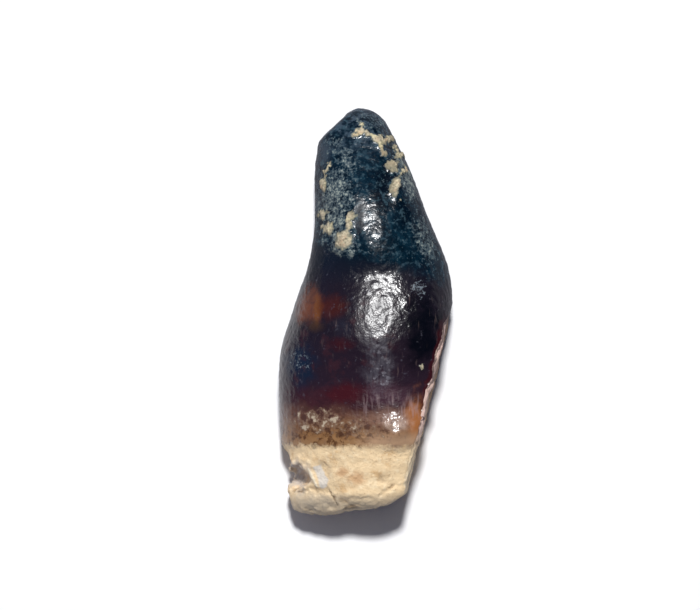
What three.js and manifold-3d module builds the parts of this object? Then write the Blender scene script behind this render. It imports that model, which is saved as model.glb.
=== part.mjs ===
// A fossil tooth lying on its flatter side: a worn, blunt crown, a broken flank and a stub of root.
// Millimetres, +Z up, root end towards -Y, tip towards +Y, origin under the middle of the tooth.
import * as THREE from "three";
import { mergeVertices } from "three/addons/utils/BufferGeometryUtils.js";
import Module from "manifold-3d";

// Driving dimensions.
const LENGTH = 26.1; // root end to tip
const HALF_WIDTH = 5.5; // widest half breadth of the crown
const HEIGHT = 7.4; // resting face to the highest point of the crown
const NECK = 4.8; // where the enamel ends, measured from the root end
const WAIST = 16.2; // the faint waist across the crown, level along the ridge
const UNDERCUT = 0.22; // how much of the rounded underside is worn flat
const AROUND = 76; // facets round the tooth
const ALONG = 44; // rings from root to tip
const END_CROWDING = 0.62; // how far the rings draw together towards the ends
const SCOOP_FACETS = [24, 16]; // facets round and down a scoop

// Long profiles, as [distance from the root end, value] in millimetres.
const LEFT_EDGE = [
  [0, -4.7], [2.2, -4.95], [NECK, -5.42], [8.4, -HALF_WIDTH], [11, -5.3], [13.8, -4.45],
  [WAIST, -3.62], [18.4, -3.28], [23, -3.12], [LENGTH, -2.6],
];
const RIGHT_EDGE = [
  [0, 3.9], [3, 4.7], [7, 5.6], [11, 5.75], [14.3, HALF_WIDTH],
  [WAIST, 5.14], [19, 4.14], [22, 2.92], [24.4, 1.72], [LENGTH, 1.05],
];
const RIDGE_LINE = [[0, 0.9], [NECK, 1.3], [10, 1.2], [14, 1], [19, 0.1], [23, -0.3], [LENGTH, -0.2]];
const RIDGE_HEIGHT = [
  [0, 4.8], [0.5, 5.12], [1.35, 5.74], [2.5, 6.2], [NECK, 6.75], [8.2, 7], [11.2, HEIGHT], [13.4, 7.22],
  [15.2, 6.86], [WAIST, 6.74], [17.6, 6.68], [19.3, 6.4], [21, 5.95], [24, 4.5], [LENGTH, 3.3],
];
const GIRTH_HEIGHT = [[0, 2.3], [6, 2.7], [12, 2.9], [18, 2.6], [23, 2.1], [LENGTH, 1.9]];
const BELLY_HEIGHT = [
  [0, 0.5], [3, 0], [7, -UNDERCUT], [13, -UNDERCUT], [17, 0], [21, 0.4], [24, 0.8], [LENGTH, 1.1],
];

// How squarely each part of the section is rounded: 2 is an ellipse, more is boxier.
const CROWN_ROUNDNESS = { left: 2.1, right: 2.4 };
const BELLY_ROUNDNESS = 2.4;

// The ends close over these lengths.
const TIP_ROUND = { length: 1.2, power: 2 };
const ROOT_ROUND = { length: 0.5, power: 3 };

// The enamel stands proud of the root by this much, over a short ramp at the neck.
const ENAMEL_STEP = { height: 0.14, ramp: 0.3 };

// Soft unevenness: how high it stands, its waves round the section, and its pace along the tooth.
const SWELLS = [
  { high: 0.05, around: 2, pace: 0.9 },
  { high: 0.04, around: 5, pace: -0.7 },
];
const ROOT_LUMPS = { high: 0.09, around: 4, pace: 2.6, beat: 1.9, fade: 1.5 };

// Sediment still stuck to the crown: place from the root end and across, half sizes and height.
const CRUST = [
  { along: 23.6, across: 1.0, long: 0.9, wide: 0.5, high: 0.16 },
  { along: 22.2, across: 1.9, long: 1.0, wide: 0.5, high: 0.18 },
  { along: 20.8, across: 2.1, long: 0.9, wide: 0.4, high: 0.15 },
  { along: 17.9, across: -1.4, long: 1.2, wide: 0.5, high: 0.18 },
  { along: 21.4, across: -2.5, long: 1.1, wide: 0.4, high: 0.1 },
];

// Broken and worn faces, each a plane through a point, with the way that it faces.
const WORN_TIP = { point: [-1.98, 24.82, 2.5], facing: [-0.686, 0.728, 0.05] };
const WORN_SHOULDER = { point: [-1.2, 25.62, 2.5], facing: [-0.48, 0.87, 0.1] };
const BROKEN_FLANK = { point: [4.3, 8.5, 2.6], facing: [0.966, -0.237, 0.04] };
const BROKEN_CORNER = { point: [2.2, 1.34, 3], facing: [0.57, -0.82, 0.04] };
const BROKEN_END = { point: [0, 0.55, 3], facing: [0.15, -0.985, 0.04] };
const CUT_SIZE = 40; // side of the block that makes a plane cut

// Scoops out of the root's left side: a deep chip, its upper lip, and the shallow scar of a flake beside it.
const SCOOPS = [
  { centre: [-4.95, 2.6, 4.2], half: [1.5, 0.85, 2.8] },
  { centre: [-5.45, 3.5, 3.2], half: [0.8, 1.1, 2.6] },
  { centre: [-2.9, 2.6, 5.92], half: [0.85, 1.2, 0.8] },
];

const wasm = await Module();
wasm.setup();

// Smooth value along a profile: a cubic through its points, with the slope of the neighbours at each.
function profile(points) {
  const slope = points.map((_, i) => {
    const before = points[Math.max(i - 1, 0)];
    const after = points[Math.min(i + 1, points.length - 1)];
    return (after[1] - before[1]) / (after[0] - before[0]);
  });
  return (along) => {
    const i = Math.max(points.findLastIndex((p, k) => p[0] <= along && k < points.length - 1), 0);
    const span = points[i + 1][0] - points[i][0];
    const t = THREE.MathUtils.clamp((along - points[i][0]) / span, 0, 1);
    const rise = points[i][1] * (1 + 2 * t) * (1 - t) ** 2 + points[i + 1][1] * t * t * (3 - 2 * t);
    return rise + span * (slope[i] * t * (1 - t) ** 2 - slope[i + 1] * t * t * (1 - t));
  };
}

const leftEdge = profile(LEFT_EDGE);
const rightEdge = profile(RIGHT_EDGE);
const ridgeLine = profile(RIDGE_LINE);
const ridgeHeight = profile(RIDGE_HEIGHT);
const girthHeight = profile(GIRTH_HEIGHT);
const bellyHeight = profile(BELLY_HEIGHT);

// Share of the full section left where an end rounds off.
function closing(along) {
  const tip = Math.max((along - (LENGTH - TIP_ROUND.length)) / TIP_ROUND.length, 0);
  const root = Math.max((ROOT_ROUND.length - along) / ROOT_ROUND.length, 0);
  const tipShare = Math.max(1 - tip ** TIP_ROUND.power, 0) ** (1 / TIP_ROUND.power);
  const rootShare = Math.max(1 - root ** ROOT_ROUND.power, 0) ** (1 / ROOT_ROUND.power);
  return tipShare * rootShare;
}

// How far the surface stands off its plain section: enamel over root, soft swells and stuck sediment.
function relief(along, across, angle, upper) {
  const enamel = ENAMEL_STEP.height * THREE.MathUtils.smoothstep(along, NECK - ENAMEL_STEP.ramp, NECK);
  const swell = SWELLS.reduce((sum, s) => sum + s.high * Math.sin(s.around * angle + s.pace * along), 0);
  const lump = Math.sin(ROOT_LUMPS.around * angle + ROOT_LUMPS.pace * along);
  const onRoot = 1 - THREE.MathUtils.smoothstep(along, NECK - ROOT_LUMPS.fade, NECK);
  const rootLumps = ROOT_LUMPS.high * lump * Math.sin(ROOT_LUMPS.beat * along + 1) * onRoot;
  const crust = CRUST.reduce((sum, c) => {
    const far = ((along - c.along) / c.long) ** 2 + ((across - c.across) / c.wide) ** 2;
    return sum + (upper ? c.high * Math.exp(-far) : 0);
  }, 0);
  return enamel + swell + rootLumps + crust;
}

// One point of the surface, at a distance from the root end and an angle round the section.
function surfacePoint(along, angle) {
  const cos = Math.cos(angle);
  const sin = Math.sin(angle);
  const upper = sin >= 0;
  const crown = cos >= 0 ? CROWN_ROUNDNESS.right : CROWN_ROUNDNESS.left;
  const power = 2 / (upper ? crown : BELLY_ROUNDNESS);
  const ridge = ridgeLine(along);
  const girth = girthHeight(along);
  const edge = cos >= 0 ? rightEdge(along) : leftEdge(along);
  const reach = upper ? ridgeHeight(along) : bellyHeight(along);
  const share = closing(along);
  const sideways = (edge - ridge) * Math.abs(cos) ** power * share;
  const upwards = (reach - girth) * Math.abs(sin) ** power * share;
  const off = relief(along, ridge + sideways, angle, upper) * share - ENAMEL_STEP.height * share;
  return [ridge + sideways + off * cos, along, girth + upwards + off * sin];
}

// Ring places: even along the tooth, and drawn close together where an end rounds off.
function ringPlaces() {
  return Array.from({ length: ALONG + 1 }, (_, i) => {
    const t = i / ALONG;
    const eased = (1 - Math.cos(Math.PI * t)) / 2;
    return LENGTH * THREE.MathUtils.lerp(t, eased, END_CROWDING);
  });
}

// Closed skin from the root end to the tip: rings of quads, with a fan at each end.
function toothForm() {
  const rings = ringPlaces().slice(1, -1);
  const points = [surfacePoint(0, 0)];
  for (const along of rings)
    for (let j = 0; j < AROUND; j++) points.push(surfacePoint(along, (j / AROUND) * 2 * Math.PI));
  points.push(surfacePoint(LENGTH, 0));
  const at = (i, j) => 1 + i * AROUND + (j % AROUND);
  const last = points.length - 1;
  const triangles = [];
  for (let j = 0; j < AROUND; j++) {
    triangles.push(0, at(0, j), at(0, j + 1));
    for (let i = 0; i < rings.length - 1; i++) {
      triangles.push(at(i, j), at(i + 1, j + 1), at(i, j + 1));
      triangles.push(at(i, j), at(i + 1, j), at(i + 1, j + 1));
    }
    triangles.push(at(rings.length - 1, j), last, at(rings.length - 1, j + 1));
  }
  const geometry = new THREE.BufferGeometry();
  geometry.setAttribute("position", new THREE.Float32BufferAttribute(points.flat(), 3));
  geometry.setIndex(triangles);
  return geometry;
}

// A block whose one face lies in the plane, on the side that is taken away.
function planeCut({ point, facing }) {
  const normal = new THREE.Vector3(...facing).normalize();
  const turn = new THREE.Quaternion().setFromUnitVectors(new THREE.Vector3(0, 0, 1), normal);
  return new THREE.BoxGeometry(CUT_SIZE, CUT_SIZE, CUT_SIZE)
    .translate(0, 0, CUT_SIZE / 2)
    .applyQuaternion(turn)
    .translate(...point);
}

// The rounded hollow that a lost chip leaves.
function scoop({ centre, half }) {
  return new THREE.SphereGeometry(1, ...SCOOP_FACETS).scale(...half).translate(...centre);
}

function solidOf(geometry) {
  geometry.deleteAttribute("normal");
  geometry.deleteAttribute("uv");
  const merged = mergeVertices(geometry);
  return new wasm.Manifold(
    new wasm.Mesh({
      numProp: 3,
      vertProperties: merged.attributes.position.array,
      triVerts: new Uint32Array(merged.index.array),
    }),
  );
}

function toothSolid() {
  const restingFace = { point: [0, LENGTH / 2, 0], facing: [0, 0, -1] };
  const planes = [WORN_TIP, WORN_SHOULDER, BROKEN_FLANK, BROKEN_CORNER, BROKEN_END, restingFace];
  const cuts = [...planes.map(planeCut), ...SCOOPS.map(scoop)];
  return cuts.reduce((body, cut) => body.subtract(solidOf(cut)), solidOf(toothForm()));
}

function geometryOf(solid) {
  const { vertProperties, triVerts } = solid.getMesh();
  const geometry = new THREE.BufferGeometry();
  geometry.setAttribute("position", new THREE.BufferAttribute(vertProperties, 3));
  geometry.setIndex(new THREE.BufferAttribute(triVerts, 1));
  geometry.computeVertexNormals();
  return geometry;
}

// The origin goes under the middle of the tooth, on the resting face.
function centred(geometry) {
  geometry.computeBoundingBox();
  const { min, max } = geometry.boundingBox;
  return geometry.translate(-(min.x + max.x) / 2, -(min.y + max.y) / 2, -min.z);
}

const enamel = new THREE.MeshStandardMaterial({ color: "#2a2630", roughness: 0.35, metalness: 0 });
const tooth = new THREE.Mesh(centred(geometryOf(toothSolid())), enamel);
tooth.name = "tooth";

const specimen = new THREE.Group();
specimen.add(tooth);

export default specimen;
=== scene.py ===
import math

import bpy
import numpy as np
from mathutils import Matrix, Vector, kdtree, noise


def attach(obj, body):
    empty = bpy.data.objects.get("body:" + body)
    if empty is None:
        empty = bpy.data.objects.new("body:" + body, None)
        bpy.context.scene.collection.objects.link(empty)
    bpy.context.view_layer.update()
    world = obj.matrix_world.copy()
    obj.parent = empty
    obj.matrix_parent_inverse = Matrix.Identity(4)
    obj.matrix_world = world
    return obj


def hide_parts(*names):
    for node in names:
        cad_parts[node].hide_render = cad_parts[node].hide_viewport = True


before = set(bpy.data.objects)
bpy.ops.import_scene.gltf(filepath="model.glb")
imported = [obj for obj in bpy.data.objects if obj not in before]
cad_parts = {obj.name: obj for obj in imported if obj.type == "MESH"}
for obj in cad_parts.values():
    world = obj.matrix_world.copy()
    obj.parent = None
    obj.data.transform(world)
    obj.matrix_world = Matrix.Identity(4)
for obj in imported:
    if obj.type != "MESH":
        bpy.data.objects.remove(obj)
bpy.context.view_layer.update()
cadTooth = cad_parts["tooth"]

# The tooth is shaped at a thousand times its size, so that one Blender unit is one millimetre.
unitsPerMetre = 1000.0


def hexToLinear(code):
    channels = [int(code[i:i + 2], 16) / 255 for i in (1, 3, 5)]
    return tuple(c / 12.92 if c <= 0.04045 else ((c + 0.055) / 1.055) ** 2.4 for c in channels) + (1.0,)


def smoothStep(value, low, high):
    t = np.clip((value - low) / (high - low), 0, 1)
    return t * t * (3 - 2 * t)


def selectOnly(piece):
    bpy.ops.object.select_all(action="DESELECT")
    piece.select_set(True)
    bpy.context.view_layer.objects.active = piece


def addModifier(piece, kind, **settings):
    modifier = piece.modifiers.new(kind.title(), kind)
    for name, value in settings.items():
        setattr(modifier, name, value)
    bpy.ops.object.modifier_apply(modifier=modifier.name)


# Tooth: the form. Sizes are in mm, and places are from the middle of the tooth, seen from above: to the
# right, then towards the tip. A pair is the start and the end of a fade, unless its note says otherwise.

toothForm = {
    # skin
    "skinPitch": 0.095,  # between points of the skin
    "smoothing": 5,  # passes that melt the facets away
    "wornSmoothing": 24,  # more passes on the worn ends
    "wornTip": (10.2, 11.4),
    "wornEnd": (10.9, 11.9),  # towards the root
    "tipFacing": (-0.5, 0.866, 0.0),  # the way the tip is built out again after that
    "tipRegrowth": 0.13,
    "endTrim": 0.08,  # the root's end is set back, to leave room for its relief
    "restingSkim": 0.03,  # of the underside, pressed back onto the resting face
    "upperSlope": (-0.1, 0.25),  # how far the skin faces up where the finishes of the upper side lie

    # neck, chip and end of the root
    "neck": -8.45,  # where enamel gives way to root
    "neckFade": (-0.15, 0.1),  # from the neck
    "chipMiddle": -10.4,
    "chipHalf": (0.9, 1.5),  # from its middle, along the tooth
    "chipAcross": (-4.2, -3.3),
    "endFace": (-12.6, -11.9),

    # broken flank
    "flankFacing": (0.966, -0.237, 0.04),  # its outward direction
    "flankTop": 0.1,  # where the break begins, along the tooth
    "flankTopFade": (-0.2, 0.1),  # from there
    "flankJags": (1.4, 17, 1.1),  # lump size, seed and height of the jags in that edge
    "flankDepth": (0.1, 0.24),  # in from the flank
    "thinEnamel": (0.25, 0.5),  # in from the flank, where the enamel shows red
    "scallopFade": (0.2, 1.6),  # from the break's beginning
    "scallopsLostOnRoot": 0.65,  # share
    "enamelThick": (0.12, 0.55),  # at the neck and on the crown, seen in the break
    "enamelGrows": 5,  # from the neck to the full thickness
    "enamelStart": (-0.2, 0.4),  # from the neck
    "enamelWorn": (3.8, 5.0),  # up the tooth, over which that edge thins
    "enamelWornShare": 0.67,
    "enamelBlur": 0.1,

    # noise that draws patches, lines and edges out of shape
    "patchWander": [(0.2, (11, 23), 0.45), (0.55, (31, 43), 0.55)],  # lump size, seeds and share
    "patchWanderReach": 0.36,
    "edgeWander": [(0.7, 5, 0.16), (0.25, 7, 0.08)],  # lump size, seed and height

    # soft swells that the light catches, and hollows
    "swells": [
        {"at": (0.75, 4.5), "half": (1.5, 1.0), "high": 0.2},
        {"at": (1.6, 6.3), "half": (1.4, 1.8), "high": 0.1},
        {"at": (0.0, -0.2), "half": (1.6, 2.6), "high": 0.07},
        {"at": (1.1, -2.6), "half": (1.9, 1.7), "high": 0.1},
        {"at": (1.95, -7.65), "half": (1.0, 0.85), "high": 0.38},
        {"at": (1.35, 8.4), "half": (0.5, 2.2), "high": -0.14},
        {"at": (0.9, 2.4), "half": (1.9, 0.6), "high": -0.05},
        {"at": (0.9, 3.5), "half": (1.9, 0.8), "high": 0.11},
        {"at": (-3.9, -12.0), "half": (1.0, 0.6), "high": 0.12},
        {"at": (2.0, -11.2), "half": (0.7, 0.5), "high": 0.12},
        {"at": (0.5, -11.7), "half": (0.8, 0.4), "high": 0.12},
        {"at": (-0.9, -11.6), "half": (0.6, 0.4), "high": 0.1},
    ],

    # lines in the root: the dark crack, soft creases, and the pale rim of the flake scar. A line's stray is
    # its share of the patches' wander.
    "rootLines": [
        {"kind": "crack", "from": (-2.3, -11.2), "to": (-1.75, -12.3),
         "wide": 0.07, "high": -0.12, "stray": 0.8},
        {"kind": "crease", "from": (-4.2, -11.3), "to": (-2.4, -11.4),
         "wide": 0.2, "high": -0.1, "stray": 1.2},
        {"kind": "crease", "from": (-1.5, -11.9), "to": (0.5, -11.75),
         "wide": 0.2, "high": -0.07, "stray": 1.2},
        {"kind": "crease", "from": (0.9, -11.6), "to": (1.6, -11.1),
         "wide": 0.16, "high": -0.1, "stray": 1.2},
        {"kind": "crease", "from": (1.6, -11.1), "to": (2.7, -10.9),
         "wide": 0.14, "high": -0.09, "stray": 1.2},
        {"kind": "crease", "from": (0.9, -10.6), "to": (1.9, -10.9),
         "wide": 0.22, "high": -0.06, "stray": 1.2},
        {"kind": "rim", "from": (-3.6, -9.94), "to": (-2.95, -11.15),
         "wide": 0.1, "high": 0.12, "stray": 0.4},
    ],

    # the pale scar that a flake left, its corners in order
    "scarCorners": [(-3.36, -9.78), (-2.8, -9.62), (-2.32, -10.6), (-2.42, -11.15), (-2.85, -11.25)],
    "scarFade": (-0.12, 0.2),
    "scarWander": 0.3,  # share of the patches' wander

    # sediment stuck to the crown, above and underneath
    "crustHigh": 0.12,
    "crustEdge": (0.3, 1.7),  # shares of a patch's half size
    "crustAbove": [
        {"at": (-0.50, 11.34), "half": (0.36, 0.15), "turn": 30},
        {"at": (-0.38, 11.72), "half": (0.08, 0.22), "turn": -10},
        {"at": (0.22, 11.26), "half": (0.40, 0.14), "turn": -25},
        {"at": (0.82, 10.90), "half": (0.42, 0.28), "turn": -20},
        {"at": (1.42, 11.00), "half": (0.44, 0.13), "turn": 12},
        {"at": (1.04, 10.32), "half": (0.14, 0.44), "turn": 20},
        {"at": (1.85, 10.40), "half": (0.32, 0.10), "turn": -50},
        {"at": (2.16, 9.96), "half": (0.30, 0.18), "turn": 40},
        {"at": (1.66, 9.38), "half": (0.40, 0.32), "turn": -10},
        {"at": (2.32, 8.95), "half": (0.10, 0.34), "turn": -25},
        {"at": (1.84, 7.90), "half": (0.28, 0.56), "turn": -8},
        {"at": (2.06, 7.10), "half": (0.10, 0.12), "turn": 0},
        {"at": (-1.02, 5.75), "half": (0.20, 0.58), "turn": -18},
        {"at": (-1.38, 4.60), "half": (0.42, 0.54), "turn": -20},
        {"at": (-2.40, 9.10), "half": (0.09, 0.56), "turn": -12},
        {"at": (-2.66, 8.15), "half": (0.20, 0.40), "turn": 0},
        {"at": (-2.72, 6.20), "half": (0.32, 0.22), "turn": 35},
        {"at": (-2.36, 5.30), "half": (0.28, 0.30), "turn": -10},
        {"at": (3.55, -3.35), "half": (0.12, 0.13), "turn": 0},
    ],
    "crustBelow": [
        {"at": (-0.8, 8.6), "half": (0.9, 0.6), "turn": 30},
        {"at": (0.9, 6.2), "half": (0.5, 0.8), "turn": -10},
        {"at": (2.9, 4.2), "half": (0.6, 0.5), "turn": 0},
        {"at": (-1.7, 2.4), "half": (0.7, 0.5), "turn": 40},
        {"at": (-2.0, -4.6), "half": (0.6, 0.9), "turn": 10},
    ],

    # where dust is caught in the pores, and flecks above the neck
    "patchEdge": (0.3, 1.5),  # shares of a patch's half size
    "dustPatches": [
        {"at": (-1.95, 6.9), "half": (1.5, 3.4), "turn": -5},
        {"at": (-1.2, 9.6), "half": (0.8, 1.3), "turn": 10, "share": 0.8},
        {"at": (-1.5, 4.0), "half": (1.5, 0.8), "turn": 0},
        {"at": (0.3, 12.0), "half": (1.6, 0.9), "turn": 0, "share": 0.75},
        {"at": (-2.0, 10.6), "half": (0.8, 1.0), "turn": 0, "share": 0.85},
        {"at": (2.6, 8.6), "half": (0.7, 2.4), "turn": 20},
        {"at": (3.7, 4.7), "half": (0.9, 2.4), "turn": 15, "share": 0.9},
        {"at": (3.3, 1.5), "half": (0.8, 0.9), "turn": 0, "share": 0.9},
        {"at": (0.9, 4.1), "half": (2.0, 0.6), "turn": 0, "share": 0.6},
        {"at": (-4.1, -3.0), "half": (1.0, 1.0), "turn": 0, "share": 0.8},
    ],
    "fleckPatches": [
        {"at": (-3.0, -6.9), "half": (1.9, 1.1), "turn": 0},
        {"at": (-0.4, -7.3), "half": (3.2, 0.9), "turn": 0, "share": 0.85},
    ],

    # relief from clouds of noise: where it lies, its lump size and height, soft or hard lumps, and the
    # brightness that stays level. A height below nothing makes scallops with sharp ridges between them.
    "reliefs": [
        ("enamel", 2.2, 0.06, "SOFT_NOISE", 0.5),
        ("enamel", 0.6, 0.055, "HARD_NOISE", 0.5),
        ("crust", 0.2, 0.22, "SOFT_NOISE", 0.5),
        ("root", 1.3, 0.17, "SOFT_NOISE", 0.5),
        ("root", 0.45, 0.07, "HARD_NOISE", 0.5),
        ("chip", 1.0, -0.6, "HARD_NOISE", 0.3),
        ("end", 1.6, -0.4, "HARD_NOISE", 0.3),
        ("end", 0.5, 0.2, "SOFT_NOISE", 0.5),
        ("scallops", 2.6, -0.45, "HARD_NOISE", 0.32),
        ("scallops", 0.9, -0.12, "HARD_NOISE", 0.3),
    ],

    # weights that stay on the mesh for the finish
    "finishMaps": (
        "crust", "dust", "flecks", "fracture", "enamelEdge", "thinEnamel", "scar", "crack", "rim", "hollow"),
}

outOfReach = 9.0  # mm, more than any distance that is looked at


def copyCadTooth():
    selectOnly(cadTooth)
    bpy.ops.object.duplicate()
    piece = bpy.context.view_layer.objects.active
    piece.name = "fossilTooth"
    piece.data.name = "fossilTooth"
    piece.parent = None
    selectOnly(piece)
    bpy.ops.object.mode_set(mode="EDIT")
    bpy.ops.mesh.select_all(action="SELECT")
    bpy.ops.mesh.remove_doubles(threshold=1e-6)
    bpy.ops.transform.resize(value=(unitsPerMetre,) * 3, center_override=(0, 0, 0))
    bpy.ops.object.mode_set(mode="OBJECT")
    return piece


def skinPoints(piece):
    count = len(piece.data.vertices)
    points = np.empty(count * 3)
    normals = np.empty(count * 3)
    piece.data.vertices.foreach_get("co", points)
    piece.data.vertices.foreach_get("normal", normals)
    return points.reshape(-1, 3), normals.reshape(-1, 3)


def noiseAt(points, size, seed):
    shift = Vector((seed, 2.3 * seed, 3.7 * seed))  # uneven steps, so that no two seeds share a pattern
    return np.array([noise.noise(Vector(p) / size + shift) for p in points])


def patchWeight(points, wander, patches, edge):
    weight = np.zeros(len(points))
    for patch in patches:
        turn = math.radians(patch["turn"])
        off = points[:, :2] + wander - patch["at"]
        along = (off[:, 0] * math.cos(turn) + off[:, 1] * math.sin(turn)) / patch["half"][0]
        across = (off[:, 1] * math.cos(turn) - off[:, 0] * math.sin(turn)) / patch["half"][1]
        inside = 1 - smoothStep(np.hypot(along, across), *edge)
        weight = np.maximum(weight, inside * patch.get("share", 1))
    return weight


def lineWeight(points, wander, line):
    start = np.array(line["from"])
    run = np.array(line["to"]) - start
    off = points[:, :2] + wander - start
    share = np.clip(off @ run / (run @ run), 0, 1)
    far = np.linalg.norm(off - share[:, None] * run, axis=1)
    return np.exp(-(far / line["wide"]) ** 2)


def scarWeight(points, corners):
    inside = np.full(len(points), outOfReach)
    for start, end in zip(corners, corners[1:] + corners[:1]):
        run = np.subtract(end, start) / math.dist(start, end)
        off = points - start
        inside = np.minimum(inside, off[:, 1] * -run[0] + off[:, 0] * run[1])
    return smoothStep(inside, *toothForm["scarFade"])


def enamelEdge(points, broken, ragged):
    # the cut edge of the enamel: the part of the break that lies nearest to the skin round it
    skin = points[broken < 0.5]
    tree = kdtree.KDTree(len(skin))
    for i, point in enumerate(skin):
        tree.insert(point, i)
    tree.balance()
    inwards = np.array([tree.find(p)[2] if share > 0.5 else outOfReach for p, share in zip(points, broken)])
    fromNeck = points[:, 1] - toothForm["neck"]
    thin, thick = toothForm["enamelThick"]
    thickness = thin + (thick - thin) * smoothStep(fromNeck, 0, toothForm["enamelGrows"])
    thickness *= 1 - toothForm["enamelWornShare"] * smoothStep(points[:, 2], *toothForm["enamelWorn"])
    blur = toothForm["enamelBlur"]
    edge = 1 - smoothStep(inwards - thickness - ragged, -blur, blur)
    return edge * smoothStep(fromNeck, *toothForm["enamelStart"])


def skinWeights(points, normals):
    form = toothForm
    upper = smoothStep(normals[:, 2], *form["upperSlope"])
    wander = form["patchWanderReach"] * sum(
        share * np.stack([noiseAt(points, size, seed) for seed in seeds], axis=1)
        for size, seeds, share in form["patchWander"])
    ragged = sum(noiseAt(points, size, seed) * high for size, seed, high in form["edgeWander"])

    # root and broken flank
    root = 1 - smoothStep(points[:, 1] + ragged - form["neck"], *form["neckFade"])
    chip = 1 - smoothStep(np.abs(points[:, 1] - form["chipMiddle"]), *form["chipHalf"])
    flank = points @ np.array(form["flankFacing"])
    depth = flank.max() - flank + ragged  # in from the broken flank
    belowTop = form["flankTop"] - points[:, 1]
    size, seed, high = form["flankJags"]
    jags = noiseAt(points, size, seed) * high
    broken = 1 - smoothStep(depth, *form["flankDepth"])
    broken *= 1 - smoothStep(jags - belowTop, *form["flankTopFade"])
    scallops = broken * (1 - form["scallopsLostOnRoot"] * root) * smoothStep(belowTop, *form["scallopFade"])
    thinEnamel = (1 - smoothStep(depth, *form["thinEnamel"])) * (1 - broken) * (belowTop > 0)

    # sediment and lines
    crustAbove = patchWeight(points, wander, form["crustAbove"], form["crustEdge"])
    crustBelow = patchWeight(points, wander, form["crustBelow"], form["crustEdge"])
    crust = np.maximum(crustAbove * upper, crustBelow * (1 - upper))
    lines = [(line, lineWeight(points, wander * line["stray"], line) * upper) for line in form["rootLines"]]

    # all the height that isn't noise
    end = 1 - smoothStep(points[:, 1], *form["endFace"])
    tipwards = np.clip(normals @ np.array(form["tipFacing"]), 0, 1)
    tipwards *= smoothStep(points[:, 1], *form["wornTip"])
    height = crust * form["crustHigh"] + sum(weight * line["high"] for line, weight in lines)
    height += form["tipRegrowth"] * tipwards - form["endTrim"] * end
    for swell in form["swells"]:
        off = (points[:, :2] - swell["at"]) / swell["half"]
        height += swell["high"] * np.exp(-(off ** 2).sum(axis=1)) * upper

    return height, {
        "root": root,
        "fracture": broken,
        "scallops": scallops,
        "enamelEdge": enamelEdge(points, broken, ragged),
        "thinEnamel": thinEnamel,
        "chip": chip * (1 - smoothStep(points[:, 0], *form["chipAcross"])),
        "end": end,
        "crust": crust,
        "enamel": np.clip(1 - root - broken - crust, 0, 1),
        "dust": patchWeight(points, wander, form["dustPatches"], form["patchEdge"]),
        "flecks": patchWeight(points, wander, form["fleckPatches"], form["patchEdge"]),
        "scar": scarWeight(points[:, :2] + wander * form["scarWander"], form["scarCorners"]) * upper,
        "crack": np.max([weight for line, weight in lines if line["kind"] == "crack"], axis=0),
        "rim": np.max([weight for line, weight in lines if line["kind"] == "rim"], axis=0),
    }


def weightGroup(piece, weights, name):
    group = piece.vertex_groups.new(name=name)
    for index in np.nonzero(weights > 0.01)[0]:
        group.add([int(index)], float(weights[index]), "REPLACE")


def displace(piece, name, size, high, lumps, level):
    texture = bpy.data.textures.new(name, "CLOUDS")
    texture.noise_scale = size
    texture.noise_type = lumps
    addModifier(piece, "DISPLACE", texture=texture, texture_coords="LOCAL", vertex_group=name,
                strength=high, mid_level=level)


def buildTooth():
    form = toothForm
    piece = copyCadTooth()
    selectOnly(piece)
    addModifier(piece, "REMESH", mode="VOXEL", voxel_size=form["skinPitch"])
    addModifier(piece, "SMOOTH", factor=0.5, iterations=form["smoothing"])
    along = skinPoints(piece)[0][:, 1]
    weightGroup(piece, smoothStep(along, *form["wornTip"]) + smoothStep(-along, *form["wornEnd"]), "worn")
    addModifier(piece, "SMOOTH", factor=0.5, iterations=form["wornSmoothing"], vertex_group="worn")
    print("tooth skin:", len(piece.data.vertices), "points")

    # relief
    points, normals = skinPoints(piece)
    height, weights = skinWeights(points, normals)
    piece.data.vertices.foreach_set("co", (points + normals * height[:, None]).ravel())
    piece.data.update()
    for name in dict.fromkeys(relief[0] for relief in form["reliefs"]):
        weightGroup(piece, weights[name], name)
    for relief in form["reliefs"]:
        displace(piece, *relief)
    risen = ((skinPoints(piece)[0] - points) * normals).sum(axis=1)
    weights["hollow"] = risen + form["endTrim"] * weights["end"]
    print("tooth relief done")

    # the underside goes flat, and the tooth back to its real size
    for vertex in piece.data.vertices:
        vertex.select = vertex.co.z < form["restingSkim"]
    bpy.ops.object.mode_set(mode="EDIT")
    bpy.ops.transform.resize(value=(1, 1, 0), center_override=(0, 0, 0))
    bpy.ops.mesh.select_all(action="SELECT")
    bpy.ops.transform.resize(value=(1 / unitsPerMetre,) * 3, center_override=(0, 0, 0))
    bpy.ops.mesh.normals_make_consistent(inside=False)
    bpy.ops.object.mode_set(mode="OBJECT")
    bpy.ops.object.shade_smooth()

    piece.vertex_groups.clear()
    for name in form["finishMaps"]:
        layer = piece.data.attributes.new(name, "FLOAT", "POINT")
        layer.data.foreach_set("value", weights[name].astype(np.float32))
    return piece


# Tooth: the finish. A layer lies where every value it names is past the first number, in full at the second.
# One with a place is a stain there, of those half sizes.

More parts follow.
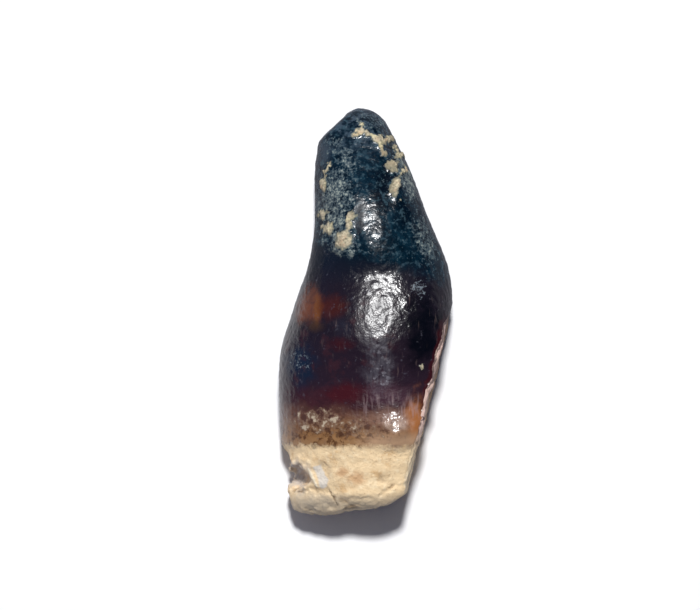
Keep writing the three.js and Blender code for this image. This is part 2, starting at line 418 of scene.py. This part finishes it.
toothFinish = {
    # noise by its grain in mm, its detail and its roughness
    "grains": {
        "drift": (2.4, 3, 0.55),
        "blotch": (0.9, 4, 0.6),
        "pore": (0.6, 3, 0.65),
        "fleck": (0.36, 3, 0.6),
        "grit": (0.15, 2, 0.6),
    },
    "fibreGrain": (0.2, 1.4, 0.25),  # mm across, along and up: growth lines run along the tooth
    "fibreDetail": 2.0,

    # sums of other values: a start, then each one's share
    "blends": {
        "wander": (-0.9, {"drift": 1.2, "blotch": 0.6}),
        "stainEdge": (-1.9, {"drift": 1.6, "blotch": 1.6, "fleck": 0.6}),
        "bandPlace": (0, {"along": 1, "wander": 1.6}),
        "crownEdge": (0, {"along": 1, "across": 0.3, "wander": 1.6}),
        "mottle": (0, {"pore": 0.5, "fleck": 0.3, "blotch": 0.2}),
        "dusty": (-0.36, {"pore": 0.3, "fleck": 0.45, "grit": 0.45, "dust": 0.3}),
        "flecky": (-0.25, {"pore": 0.3, "fleck": 0.7, "flecks": 0.28}),
        "crustEdge": (-1.05, {"crust": 1.5, "grit": 0.6, "fleck": 0.8}),
        "neckEdge": (-0.45, {"along": 1, "fleck": 0.9}),
        "skin": (0, {"pore": 0.9, "fleck": 0.3, "grit": 0.1}),
    },

    # colours that run along a value
    "runs": {
        "crown": ("mottle", [(0.36, "#000d18"), (0.5, "#021b29"), (0.6, "#0e2c3a"), (0.74, "#334c57")]),
        "middle": ("bandPlace", [
            (-8.6, "#967350"), (-7.8, "#88633f"), (-6.9, "#624336"), (-5.8, "#351b21"),
            (-4.2, "#261a25"), (-1.0, "#1b141e"), (1.6, "#1a151f"), (3.2, "#0c1521"),
        ]),
        # the break runs paler towards the root end than the root itself: painted light that offsets the
        # shade on the flank there
        "break": ("bandPlace", [
            (-11, "#f6e2bd"), (-8.6, "#ecd3aa"), (-7.4, "#bb9c7c"), (-3.5, "#a3846a"), (0.5, "#8a6a55"),
        ]),
    },
    "rootColour": "#ecd0a5",
    "crustColour": "#767a70",

    "stainHeight": (5.8, 2.6),  # mm: stains lie in the upper side and fade out below
    "stainFade": (1.5, 0.2),  # half sizes from its middle
    "middleLayers": [
        # orange and brown stain on the left, then blue, maroon and black ones
        {"colour": "#6c3c28", "share": 0.9, "at": (-3.8, 0.4), "half": (0.85, 1.1)},
        {"colour": "#86511f", "share": 0.6, "at": (-3.05, 0.0), "half": (0.25, 0.8)},
        {"colour": "#43190f", "share": 0.7, "at": (-2.2, 0.2), "half": (0.9, 0.7)},
        {"colour": "#3d2a1c", "share": 0.7, "at": (-3.2, -0.9), "half": (0.6, 0.45)},
        {"colour": "#23232f", "share": 0.8, "at": (-1.5, -0.9), "half": (0.7, 0.6)},
        {"colour": "#3d1013", "share": 0.65, "at": (-1.7, -2.0), "half": (0.9, 0.4)},
        {"colour": "#091f34", "share": 0.92, "at": (-4.05, -3.2), "half": (1.0, 1.3)},
        {"colour": "#41131a", "share": 0.8, "at": (-1.4, -5.1), "half": (1.9, 0.6)},
        {"colour": "#02050c", "share": 0.95, "at": (3.5, -0.9), "half": (1.6, 2.5)},
        # amber and pale band on the right above the neck
        {"colour": "#a5683b", "share": 0.85, "at": (3.1, -6.7), "half": (0.6, 1.5)},
        {"colour": "#4f3743", "share": 0.7, "at": (1.6, -5.2), "half": (1.5, 0.7)},
        {"colour": "#8d6c5c", "share": 0.7, "at": (1.2, -6.7), "half": (1.3, 0.7)},
        # its palest spot is partly the band's own colour and partly a painted highlight over the bump that
        # catches the lamp
        {"colour": "#c2aa9b", "share": 0.95, "at": (1.9, -7.1), "half": (0.8, 0.5)},
        {"colour": "#b8977a", "share": 0.75, "where": [("along", -7.2, -8.2), ("across", -1.2, 0.8)]},
        # painted sheen: a paler streak and specks along the ridge stand in for the faint lower end of the
        # highlight there
        {"colour": "#62616a", "share": 0.5, "at": (0.8, -2.9), "half": (0.95, 2.2),
         "where": [("fibre", 0.25, 0.66)]},
        {"colour": "#96949c", "share": 0.8, "at": (0.9, -3.1), "half": (0.8, 1.7),
         "where": [("fleck", 0.49, 0.63)]},
        # enamel that thins to red at the break
        {"colour": "#3c0f11", "share": 0.65,
         "where": [("thinEnamel", 0.1, 0.9), ("along", -6.5, -5), ("along", 0.2, -1.2)]},
        # flecks, blotches, growth lines and dust
        {"colour": "#5a5a66", "share": 0.4, "where": [("fleck", 0.62, 0.74), ("along", -6.5, -4.5)]},
        {"colour": "#4c2428", "share": 0.28,
         "where": [("blotch", 0.52, 0.68), ("along", 1.8, 0.5), ("across", 2.4, 1.2)]},
        {"colour": "#6f5d5a", "share": 0.3, "where": [("fibre", 0.62, 0.8), ("along", 2.4, 1.2)]},
        {"colour": "#76828a", "share": 0.7, "where": [("dusty", 0.5, 0.62), ("along", 3.6, 2.6)]},
        {"colour": "#a28b8c", "share": 0.4,
         "where": [("fibre", 0.48, 0.7), ("along", -7.0, -6.2), ("along", -4.8, -5.8),
                   ("across", -0.9, 0.4)]},
        # flecked band above the neck
        {"colour": "#43230f", "share": 0.75,
         "where": [("pore", 0.48, 0.58), ("along", -6.9, -7.6), ("across", 0.6, -0.8)]},
        {"colour": "#3d2822", "share": 0.6, "where": [("fleck", 0.5, 0.38), ("flecks", 0.2, 0.7)]},
        {"colour": "#7d6552", "share": 0.6, "where": [("flecky", 0.44, 0.54)]},
        {"colour": "#b9aa94", "share": 0.85, "where": [("flecky", 0.53, 0.63)]},
    ],
    "crownLayers": [
        # dark furrows beside the ridge: near-black patches, partly the enamel's own dark and partly painted
        # shade in the furrows and on the ridge's flanks; and the worn left edge
        {"colour": "#000813", "share": 0.85, "at": (1.2, 8.2), "half": (0.7, 2.6), "turn": -12},
        {"colour": "#000b17", "share": 0.85, "at": (-0.3, 6.1), "half": (0.3, 1.1)},
        {"colour": "#000b17", "share": 0.8, "at": (2.5, 6.1), "half": (0.7, 1.2)},
        {"colour": "#43525f", "share": 0.6, "at": (-2.7, 10.3), "half": (0.5, 1.0)},
        # flecks, the rubbed tip, dust and a halo round the crust
        {"colour": "#3d5560", "share": 0.6, "where": [("fleck", 0.52, 0.68)]},
        {"colour": "#5b6a70", "share": 0.5, "where": [("grit", 0.6, 0.72), ("pore", 0.44, 0.56)]},
        {"colour": "#4a5966", "share": 0.5, "where": [("pore", 0.4, 0.6), ("along", 9.4, 11.4)]},
        {"colour": "#47555b", "share": 0.75, "where": [("dusty", 0.43, 0.53)]},
        {"colour": "#98a097", "share": 0.85, "where": [("dusty", 0.54, 0.66)]},
        {"colour": "#6d736b", "share": 0.6, "where": [("crust", 0.1, 0.6), ("fleck", 0.4, 0.6)]},
    ],
    "rootLayers": [
        # chalky grain, and greyer towards the end, partly painted shade on the end's bevel
        {"colour": "#cba06a", "share": 0.65, "where": [("blotch", 0.5, 0.7)]},
        {"colour": "#f8e3bd", "share": 0.6, "where": [("fleck", 0.5, 0.7)]},
        {"colour": "#b08a63", "share": 0.5, "where": [("grit", 0.58, 0.75)]},
        {"colour": "#c2b095", "share": 0.8, "where": [("along", -11.2, -12.2)]},
        # rusty spots, the chip, whose hollow is painted grey as painted shade, and the lobe below it
        {"colour": "#b47f50", "share": 0.6, "at": (-1.45, -10.1), "half": (0.35, 0.3)},
        {"colour": "#c08c5c", "share": 0.6, "at": (-0.6, -10.5), "half": (0.5, 0.4)},
        {"colour": "#b9b4b5", "share": 0.9, "at": (-4.4, -10.4), "half": (0.95, 0.9), "height": (3.4, 3.4)},
        {"colour": "#c2b39c", "share": 0.8, "at": (-3.6, -12.1), "half": (1.5, 0.8)},
        # darker where the relief sinks, the crack, the flake scar and its rim
        {"colour": "#a98d6a", "share": 0.5, "where": [("hollow", -0.05, -0.3)]},
        {"colour": "#8f7454", "share": 0.55, "where": [("hollow", -0.03, -0.13), ("along", -12.8, -12.4)]},
        {"colour": "#57473a", "share": 0.45, "where": [("crack", 0.35, 0.9)]},
        {"colour": "#d3cfc8", "share": 0.8, "where": [("scar", 0.2, 0.8)]},
        {"colour": "#f1e4c8", "share": 0.8, "where": [("rim", 0.35, 0.8)]},
    ],
    "breakLayers": [
        # pinkish upper edge, fibrous dentine, darker where the scallops sink, and the dark cut edge of the
        # enamel
        {"colour": "#e2c2b6", "share": 0.95, "where": [("up", 3.6, 5.0), ("along", -9, -7)]},
        {"colour": "#7d5d48", "share": 0.6, "where": [("drift", 0.46, 0.64)]},
        {"colour": "#6f4f40", "share": 0.55, "where": [("fibre", 0.5, 0.68)]},
        {"colour": "#cbb196", "share": 0.45, "where": [("fibre", 0.46, 0.3)]},
        {"colour": "#5d4535", "share": 0.6, "where": [("hollow", -0.1, -0.4)]},
        {"colour": "#33262b", "share": 0.8, "where": [("enamelEdge", 0.3, 0.7)]},
    ],
    "crustLayers": [
        # sandy grains in several tans, greyer at the ragged edge and in the hollows
        {"colour": "#b3a78e", "where": [("crustEdge", 0.3, 0.75)]},
        {"colour": "#c4a384", "share": 0.6, "where": [("blotch", 0.5, 0.62), ("crustEdge", 0.3, 0.75)]},
        {"colour": "#cdc596", "share": 0.5, "where": [("pore", 0.5, 0.62), ("crustEdge", 0.3, 0.75)]},
        {"colour": "#86826f", "share": 0.65, "where": [("fleck", 0.52, 0.38)]},
        {"colour": "#d6caac", "share": 0.65, "where": [("grit", 0.5, 0.68), ("crustEdge", 0.4, 0.8)]},
        {"colour": "#6a6450", "share": 0.65, "where": [("grit", 0.47, 0.32)]},
        {"colour": "#7a725c", "share": 0.6, "where": [("hollow", 0.12, 0.02)]},
    ],

    # where each finish lies over the one before
    "places": {
        "ridge": {"at": (0.9, -0.2), "half": (1.3, 2.6)},
        "crownRidge": {"share": 0.6, "at": (0.8, 5.7), "half": (1.1, 1.9)},
        "furrow": {"at": (-0.4, 6.1), "half": (0.28, 1.1)},
        "rubbed": {"share": 0.7, "at": (-0.1, -0.2), "half": (0.7, 1.8)},
        "rubbedBelow": {"at": (0.95, -3.2), "half": (1.0, 1.8)},
        "dust": {"share": 0.8, "where": [("dusty", 0.44, 0.6)]},
        "crown": {"where": [("crownEdge", 2.9, 3.9)]},
        "root": {"where": [("neckEdge", toothForm["neck"] + 0.2, toothForm["neck"] - 0.25)]},
        "break": {"where": [("fracture", 0.35, 0.65)]},
        "enamelEdge": {"where": [("enamelEdge", 0.3, 0.7)]},
        "crust": {"where": [("crustEdge", 0.0, 0.32)]},
        "crustRim": {"where": [("crustEdge", 0.0, 0.25)]},
    },

    # roughness: enamel between two values as its blotches go, then the other places in order
    "enamelMatt": (0.16, 0.24),
    "enamelBlotches": (0.3, 0.7),
    "matt": {
        "ridge": 0.34, "crownRidge": 0.3, "furrow": 0.55, "rubbed": 0.38, "rubbedBelow": 0.38, "dust": 0.55,
        "root": 0.65, "break": 0.75, "enamelEdge": 0.45, "crustRim": 0.92,
    },
    "chalky": (0.45, 0.65),  # roughness from which grit stands out
    "pebbleHeight": 0.048,  # mm
    "gritHeight": 0.03,  # mm
    "ior": 1.55,
    "specular": 0.38,
}


def addNode(tree, kind, inputs=None, **settings):
    node = tree.nodes.new(kind)
    for name, value in settings.items():
        setattr(node, name, value)
    for socket, value in (inputs or {}).items():
        if isinstance(value, bpy.types.NodeSocket):
            tree.links.new(value, node.inputs[socket])
        else:
            node.inputs[socket].default_value = value
    return node


def layerMask(tree, values, layer):
    masks = []
    if "at" in layer:
        middle, reach = layer.get("height", toothFinish["stainHeight"])
        centred = addNode(tree, "ShaderNodeMapping", {
            "Vector": values["place"], "Rotation": (0, 0, math.radians(layer.get("turn", 0))),
            "Location": (*layer["at"], middle), "Scale": (*layer["half"], reach)}, vector_type="TEXTURE")
        far = addNode(tree, "ShaderNodeVectorMath", {0: centred.outputs[0]}, operation="LENGTH")
        edge = addNode(tree, "ShaderNodeMath", {0: far.outputs["Value"], 1: values["stainEdge"]})
        masks.append((edge.outputs[0], *toothFinish["stainFade"]))
    masks += [(values[name], low, high) for name, low, high in layer.get("where", [])]
    total = layer.get("share", 1.0)
    for value, low, high in masks:
        mask = addNode(tree, "ShaderNodeMapRange", {
            0: value, 1: low, 2: high}, interpolation_type="SMOOTHSTEP")
        total = addNode(tree, "ShaderNodeMath", {
            0: mask.outputs[0], 1: total}, operation="MULTIPLY").outputs[0]
    return total


def layColours(tree, values, under, layers):
    for layer in layers:
        over = layer["colour"]
        under = addNode(tree, "ShaderNodeMix", {
            0: layerMask(tree, values, layer), 6: under,
            7: hexToLinear(over) if isinstance(over, str) else over}, data_type="RGBA").outputs[2]
    return under


def fossilToothMaterial():
    # Fossilised enamel over dentine: dark mineral-stained gloss, broken by matt sediment and a chalky root.
    finish = toothFinish
    material = bpy.data.materials.new("fossilisedEnamel")
    material.use_nodes = True
    tree = material.node_tree
    tree.nodes.clear()

    # the values that the layers read, with places in mm
    source = addNode(tree, "ShaderNodeTexCoord")
    place = addNode(tree, "ShaderNodeMapping", {
        "Vector": source.outputs["Object"], "Scale": (unitsPerMetre,) * 3}).outputs[0]
    axes = addNode(tree, "ShaderNodeSeparateXYZ", {0: place})
    values = {"place": place, "across": axes.outputs[0], "along": axes.outputs[1], "up": axes.outputs[2]}
    for name, (size, detail, rough) in finish["grains"].items():
        values[name] = addNode(tree, "ShaderNodeTexNoise", {
            "Vector": place, "Scale": 1 / size, "Detail": detail, "Roughness": rough}).outputs[0]
    stretched = addNode(tree, "ShaderNodeMapping", {
        "Vector": place, "Scale": [1 / size for size in finish["fibreGrain"]]})
    values["fibre"] = addNode(tree, "ShaderNodeTexNoise", {
        "Vector": stretched.outputs[0], "Scale": 1.0, "Detail": finish["fibreDetail"]}).outputs[0]
    for name in toothForm["finishMaps"]:
        values[name] = addNode(tree, "ShaderNodeAttribute", attribute_name=name).outputs["Fac"]
    for name, (total, parts) in finish["blends"].items():
        for part, share in parts.items():
            total = addNode(tree, "ShaderNodeMath", {
                0: values[part], 1: share, 2: total}, operation="MULTIPLY_ADD").outputs[0]
        values[name] = total

    # colour
    runs = {}
    for name, (value, stops) in finish["runs"].items():
        low, high = stops[0][0], stops[-1][0]
        share = addNode(tree, "ShaderNodeMapRange", {0: values[value], 1: low, 2: high})
        run = addNode(tree, "ShaderNodeValToRGB", {0: share.outputs[0]})
        elements = run.color_ramp.elements
        for i, (at, colour) in enumerate(stops):
            spot = (at - low) / (high - low)
            element = elements[i] if i < 2 else elements.new(spot)
            element.position = spot
            element.color = hexToLinear(colour)
        runs[name] = run.outputs[0]
    colour = layColours(tree, values, runs["middle"], finish["middleLayers"])
    finishes = {
        "crown": layColours(tree, values, runs["crown"], finish["crownLayers"]),
        "root": layColours(tree, values, hexToLinear(finish["rootColour"]), finish["rootLayers"]),
        "break": layColours(tree, values, runs["break"], finish["breakLayers"]),
        "crust": layColours(tree, values, hexToLinear(finish["crustColour"]), finish["crustLayers"]),
    }
    colour = layColours(tree, values, colour, [
        {**finish["places"][name], "colour": over} for name, over in finishes.items()])

    # gloss
    low, high = finish["enamelBlotches"]
    glossiest, mattest = finish["enamelMatt"]
    matt = addNode(tree, "ShaderNodeMapRange", {
        0: values["blotch"], 1: low, 2: high, 3: glossiest, 4: mattest}).outputs[0]
    for name, value in finish["matt"].items():
        mask = layerMask(tree, values, finish["places"][name])
        matt = addNode(tree, "ShaderNodeMix", {0: mask, 2: matt, 3: value}, data_type="FLOAT").outputs[0]

    # relief too fine for the mesh
    pebbled = addNode(tree, "ShaderNodeBump", {
        "Strength": 1.0, "Distance": finish["pebbleHeight"] / unitsPerMetre, "Height": values["skin"]})
    low, high = finish["chalky"]
    chalky = addNode(tree, "ShaderNodeMapRange", {0: matt, 1: low, 2: high})
    gritty = addNode(tree, "ShaderNodeBump", {
        "Strength": chalky.outputs[0], "Distance": finish["gritHeight"] / unitsPerMetre,
        "Height": values["grit"], "Normal": pebbled.outputs[0]})

    shader = addNode(tree, "ShaderNodeBsdfPrincipled", {
        "Base Color": colour, "Roughness": matt, "IOR": finish["ior"],
        "Specular IOR Level": finish["specular"], "Normal": gritty.outputs[0]})
    addNode(tree, "ShaderNodeOutputMaterial", {0: shader.outputs[0]})
    return material


tooth = buildTooth()
tooth.data.materials.clear()
tooth.data.materials.append(fossilToothMaterial())
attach(tooth, "root")
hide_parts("tooth")
print("tooth finished")


# Floor, light and camera

studio = {
    "floorSide": 0.8,  # m
    "floorColour": "#f4f4f5",
    "floorMatt": 0.9,
    "floorGloss": ("#f4f4f5", "#7a7a80"),  # as the tooth's gloss sees it, by the root's left and elsewhere
    "floorGlossEdge": ((-0.009, -0.003), (0.0, 0.004)),  # m across and along, from one to the other
    "fillTop": 0.03,  # brightness straight above
    "fillSide": 0.16,  # brightness at the horizon
    "fillLeft": 1.6,  # that much of it on the left, and on the right
    "fillRight": 0.5,
    "fillTint": "#adbeff",
    "lampDistance": 0.5,  # m
    "keyLean": (0.5, 22.5),  # degrees off straight up, to the right and to the tip end
    "keySize": 6,  # degrees across
    "keyLight": 3.6,  # W per square metre at the tooth
    "softboxSpan": (26, 46),  # degrees across and along the tooth
    "softboxLean": (-7, 9),  # degrees of its middle off straight up
    "softboxGlow": 0.72,  # radiance
}
view = {
    "across": 0.0446,  # m of the picture's width at the tooth's middle height
    "lens": 250,  # mm
    "sensor": 36.0,  # mm
    "aim": (-0.000988, 0.000446, 0.003),  # m, the middle of the picture
}


def addFloor():
    # Matt white paper: an even sheet that takes a soft shadow and has no shine of its own.
    bpy.ops.object.select_all(action="DESELECT")
    bpy.ops.mesh.primitive_plane_add(size=studio["floorSide"])
    floor = bpy.context.view_layer.objects.active
    floor.name = "floor"
    paper = bpy.data.materials.new("whitePaper")
    paper.use_nodes = True
    tree = paper.node_tree
    shader = tree.nodes["Principled BSDF"]
    shader.inputs["Roughness"].default_value = studio["floorMatt"]

    # what the gloss of the tooth sees is dimmer, as if the sheet were small
    place = addNode(tree, "ShaderNodeTexCoord")
    axes = addNode(tree, "ShaderNodeSeparateXYZ", {0: place.outputs["Object"]})
    across, along = [addNode(tree, "ShaderNodeMapRange", {0: axes.outputs[i], 1: low, 2: high}).outputs[0]
                     for i, (low, high) in enumerate(studio["floorGlossEdge"])]
    away = addNode(tree, "ShaderNodeMath", {0: across, 1: along}, operation="MAXIMUM")
    bright, dim = [hexToLinear(colour) for colour in studio["floorGloss"]]
    gloss = addNode(tree, "ShaderNodeMix", {0: away.outputs[0], 6: bright, 7: dim}, data_type="RGBA")
    ray = addNode(tree, "ShaderNodeLightPath")
    sheet = addNode(tree, "ShaderNodeMix", {
        0: ray.outputs["Is Glossy Ray"], 6: hexToLinear(studio["floorColour"]),
        7: gloss.outputs[2]}, data_type="RGBA")
    tree.links.new(sheet.outputs[2], shader.inputs["Base Color"])
    floor.data.materials.append(paper)


def addLamp(name, lean, sides, energy, shape):
    toLamp = Vector((math.tan(math.radians(lean[0])), math.tan(math.radians(lean[1])), 1)).normalized()
    bpy.ops.object.light_add(type="AREA", location=toLamp * studio["lampDistance"])
    lamp = bpy.context.view_layer.objects.active
    lamp.name = name
    lamp.rotation_euler = toLamp.to_track_quat("Z", "Y").to_euler()
    lamp.data.shape = shape
    lamp.data.size, lamp.data.size_y = sides
    lamp.data.energy = energy


def addLight():
    # a dim sky for the fill, a small key that draws the shadow, and a softbox that the gloss shows
    scene = bpy.context.scene
    scene.world = bpy.data.worlds.new("fill")
    scene.world.use_nodes = True
    tree = scene.world.node_tree
    place = addNode(tree, "ShaderNodeTexCoord")
    axes = addNode(tree, "ShaderNodeSeparateXYZ", {0: place.outputs["Generated"]})
    fill = addNode(tree, "ShaderNodeMapRange", {
        0: axes.outputs[2], 1: 0.0, 2: 1.0, 3: studio["fillSide"], 4: studio["fillTop"]})
    sideways = addNode(tree, "ShaderNodeMapRange", {
        0: axes.outputs[0], 1: -1.0, 2: 1.0, 3: studio["fillLeft"], 4: studio["fillRight"]})
    fill = addNode(tree, "ShaderNodeMath", {
        0: fill.outputs[0], 1: sideways.outputs[0]}, operation="MULTIPLY")
    sky = tree.nodes["Background"]
    sky.inputs[0].default_value = hexToLinear(studio["fillTint"])
    tree.links.new(fill.outputs[0], sky.inputs[1])
    distance = studio["lampDistance"]
    side = 2 * distance * math.tan(math.radians(studio["keySize"] / 2))
    energy = studio["keyLight"] * math.pi * distance ** 2  # a flat lamp sends energy / pi straight ahead
    addLamp("key", studio["keyLean"], (side, side), energy, "ELLIPSE")
    sides = [2 * distance * math.tan(math.radians(span / 2)) for span in studio["softboxSpan"]]
    energy = studio["softboxGlow"] * math.pi * sides[0] * sides[1]
    addLamp("softbox", studio["softboxLean"], sides, energy, "RECTANGLE")


def addCamera():
    bpy.ops.object.camera_add(rotation=(0, 0, 0))
    camera = bpy.context.view_layer.objects.active
    camera.data.lens = view["lens"]
    camera.data.sensor_width = view["sensor"]
    camera.data.sensor_fit = "HORIZONTAL"
    camera.location = Vector(view["aim"]) + Vector((0, 0, view["lens"] / view["sensor"] * view["across"]))
    bpy.context.scene.camera = camera


addFloor()
addLight()
addCamera()
bpy.context.scene.view_settings.view_transform = "Standard"
print("studio ready")
